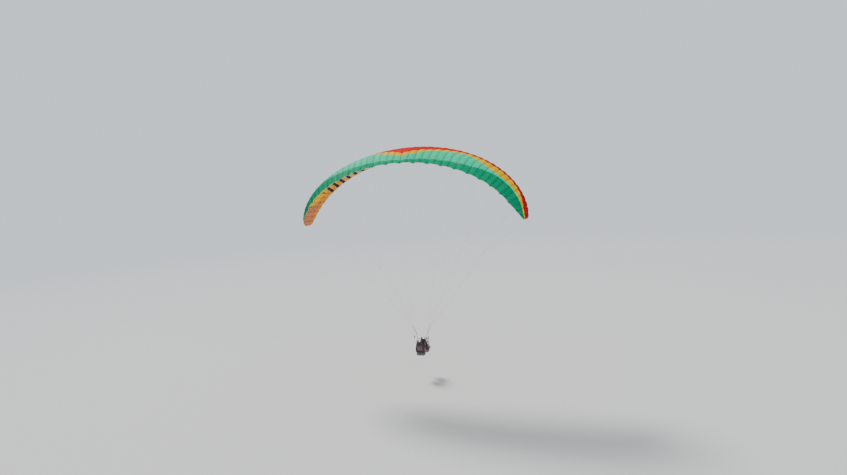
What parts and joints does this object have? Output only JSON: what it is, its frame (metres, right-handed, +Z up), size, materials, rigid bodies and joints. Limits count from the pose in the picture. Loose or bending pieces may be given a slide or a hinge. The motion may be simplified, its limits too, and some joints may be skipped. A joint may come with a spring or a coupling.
{
  "type": "two-seat paraglider",
  "caption": "Ram-air fabric wing with suspension lines, risers, spreaders and two seat harnesses, held up by the air, carrying two riders below.",
  "frame": {"origin": "inside the canopy's centre rib, on its chord line, 30% of the chord behind the leading edge, where the air's lift holds the wing up", "axes": "+X along the span to the crew's left, +Y to the rear (it flies towards -Y), +Z up"},
  "size_m": [11.5448, 3.2137, 10.5012],
  "materials": {
    "cloth": "coated ripstop cloth in green, yellow, orange and red panels",
    "line_front": "sheathed braided line",
    "line_rear": "sheathed braided line",
    "line_brake": "sheathed braided line",
    "webbing": "woven webbing",
    "alloy": "satin",
    "handle": "woven webbing",
    "pad": "padded nylon cloth",
    "protector": "padded nylon cloth"
  },
  "bodies": {
    "wing": {"canopy_centre": "cloth", "canopy_left_1": "cloth", "canopy_left_2": "cloth", "canopy_left_3": "cloth", "canopy_left_4": "cloth", "canopy_left_5": "cloth", "canopy_right_1": "cloth", "canopy_right_2": "cloth", "canopy_right_3": "cloth", "canopy_right_4": "cloth", "canopy_right_5": "cloth", "lines_a_left": "line_front", "lines_b_left": "line_rear", "lines_c_left": "line_rear", "lines_brake_left": "line_brake", "lines_a_right": "line_front", "lines_b_right": "line_rear", "lines_c_right": "line_rear", "lines_brake_right": "line_brake", "riser_left": "webbing", "riser_right": "webbing", "brake_ring_left": "alloy", "brake_ring_right": "alloy", "brake_handle_left": "handle", "brake_handle_right": "handle", "main_carabiner_left": "alloy", "main_carabiner_right": "alloy"},
    "spreaders": {"spreader_left": "webbing", "spreader_right": "webbing"},
    "pilot_harness": {"pilot_seat": "pad", "pilot_back": "pad", "pilot_protector": "protector", "pilot_rear_pocket": "protector", "pilot_chest_strap": "webbing", "pilot_carabiner_left": "alloy", "pilot_carabiner_right": "alloy", "pilot_side_panel_left": "webbing", "pilot_side_panel_right": "webbing", "pilot_shoulder_strap_left": "webbing", "pilot_shoulder_strap_right": "webbing", "pilot_leg_strap_left": "webbing", "pilot_leg_strap_right": "webbing"},
    "passenger_harness": {"passenger_seat": "pad", "passenger_back": "pad", "passenger_protector": "protector", "passenger_chest_strap": "webbing", "passenger_carabiner_left": "alloy", "passenger_carabiner_right": "alloy", "passenger_side_panel_left": "webbing", "passenger_side_panel_right": "webbing", "passenger_shoulder_strap_left": "webbing", "passenger_shoulder_strap_right": "webbing", "passenger_leg_strap_left": "webbing", "passenger_leg_strap_right": "webbing"}
  },
  "joints": [
    {"name": "spreaders_swing", "type": "hinge", "parent": "wing", "child": "spreaders", "pos_m": [0, 0.5, -9.35], "axis": [1, 0, 0], "range_deg": [-40, 40]},
    {"name": "pilot_harness_swing", "type": "hinge", "parent": "spreaders", "child": "pilot_harness", "pos_m": [0, 0.8, -9.54], "axis": [1, 0, 0], "range_deg": [-5, 30]},
    {"name": "passenger_harness_swing", "type": "hinge", "parent": "spreaders", "child": "passenger_harness", "pos_m": [0, 0.2, -9.54], "axis": [1, 0, 0], "range_deg": [-30, 5]}
  ]
}
